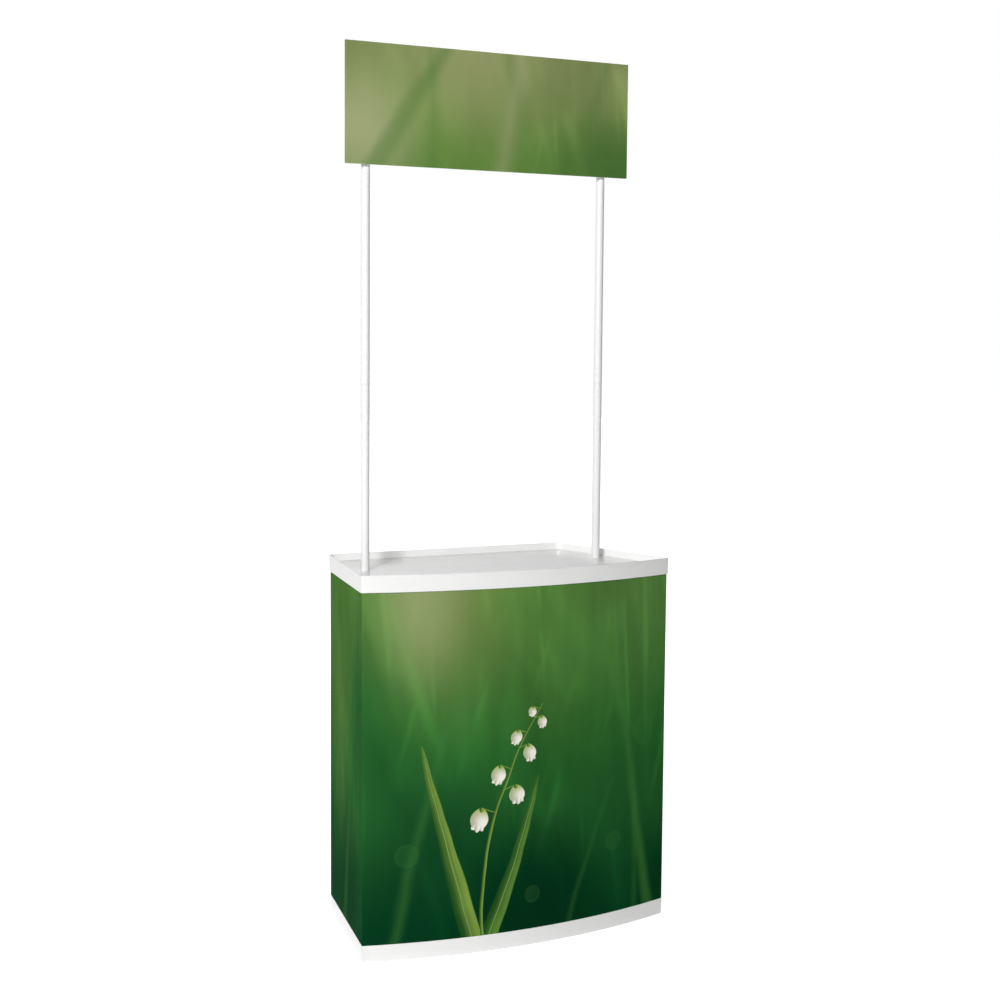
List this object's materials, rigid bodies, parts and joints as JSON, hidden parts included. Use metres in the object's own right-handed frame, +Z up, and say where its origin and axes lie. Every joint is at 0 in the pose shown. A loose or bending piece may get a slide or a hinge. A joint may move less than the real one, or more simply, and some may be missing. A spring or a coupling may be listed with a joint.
{
  "type": "exhibition counter",
  "caption": "Portable exhibition counter: moulded base and tray top, bowed wrap-round printed panel, inner shelf, and a header board on two tube poles.",
  "frame": {"origin": "on the floor, under the middle of the tray's outline", "axes": "+Z up, the bowed front faces -Y, +X to the right as seen from the front"},
  "size_m": [0.8, 0.4546, 2.0634],
  "materials": {
    "moulded_white": "white moulded plastic, satin gloss",
    "panel_white": "white plastic sheet",
    "wrap_print": "satin printed film, soft green meadow gradient",
    "header_print": "satin printed film, soft olive-green blur",
    "tube_white": "white powder coat",
    "plug_white": "white moulded plastic",
    "clip_white": "white moulded plastic",
    "foam_white": "white adhesive foam",
    "screw_steel": "plated steel"
  },
  "bodies": {
    "base": {"base_tray": "moulded_white", "shelf": "moulded_white", "lower_post_front_left": "tube_white", "lower_post_front_right": "tube_white", "lower_post_rear_left": "tube_white", "lower_post_rear_right": "tube_white", "upper_post_front_left": "tube_white", "upper_post_front_right": "tube_white", "upper_post_rear_left": "tube_white", "upper_post_rear_right": "tube_white", "shelf_plug_front_left": "plug_white", "shelf_plug_front_right": "plug_white", "shelf_plug_rear_left": "plug_white", "shelf_plug_rear_right": "plug_white"},
    "wrap": {"wrap_panel": "panel_white", "wrap_graphic": "wrap_print"},
    "top": {"countertop_tray": "moulded_white", "pole_socket_left": "plug_white", "pole_socket_right": "plug_white", "socket_screw_left_front": "screw_steel", "socket_screw_left_rear": "screw_steel", "socket_screw_right_front": "screw_steel", "socket_screw_right_rear": "screw_steel"},
    "lower_pole_left": {"lower_pole_left": "tube_white", "pole_ferrule_left": "plug_white"},
    "lower_pole_right": {"lower_pole_right": "tube_white", "pole_ferrule_right": "plug_white"},
    "upper_pole_left": {"upper_pole_left": "tube_white", "pole_cap_left": "plug_white"},
    "upper_pole_right": {"upper_pole_right": "tube_white", "pole_cap_right": "plug_white"},
    "header": {"header_board": "panel_white", "header_graphic": "header_print", "header_clip_left_low": "clip_white", "header_clip_left_high": "clip_white", "header_clip_right_low": "clip_white", "header_clip_right_high": "clip_white", "clip_pad_left_low": "foam_white", "clip_pad_left_high": "foam_white", "clip_pad_right_low": "foam_white", "clip_pad_right_high": "foam_white"}
  },
  "joints": [
    {"name": "wrap_lift", "type": "slide", "parent": "base", "child": "wrap", "axis": [0, 0, 1], "range_m": [0, 0.013]},
    {"name": "top_lift", "type": "slide", "parent": "wrap", "child": "top", "axis": [0, 0, 1], "range_m": [0, 0.022]},
    {"name": "lower_pole_left_lift", "type": "slide", "parent": "top", "child": "lower_pole_left", "axis": [0, 0, 1], "range_m": [0, 0.1]},
    {"name": "lower_pole_right_lift", "type": "slide", "parent": "top", "child": "lower_pole_right", "axis": [0, 0, 1], "range_m": [0, 0.1]},
    {"name": "upper_pole_left_lift", "type": "slide", "parent": "lower_pole_left", "child": "upper_pole_left", "axis": [0, 0, 1], "range_m": [0, 0.04]},
    {"name": "upper_pole_right_lift", "type": "slide", "parent": "lower_pole_right", "child": "upper_pole_right", "axis": [0, 0, 1], "range_m": [0, 0.04]},
    {"name": "header_slide", "type": "slide", "parent": "upper_pole_left", "child": "header", "axis": [0, 0, 1], "range_m": [-0.45, 0.015]}
  ],
  "couplings": [
    {"joint": "lower_pole_right_lift", "follows": "lower_pole_left_lift", "ratio": 1},
    {"joint": "upper_pole_right_lift", "follows": "upper_pole_left_lift", "ratio": 1}
  ]
}
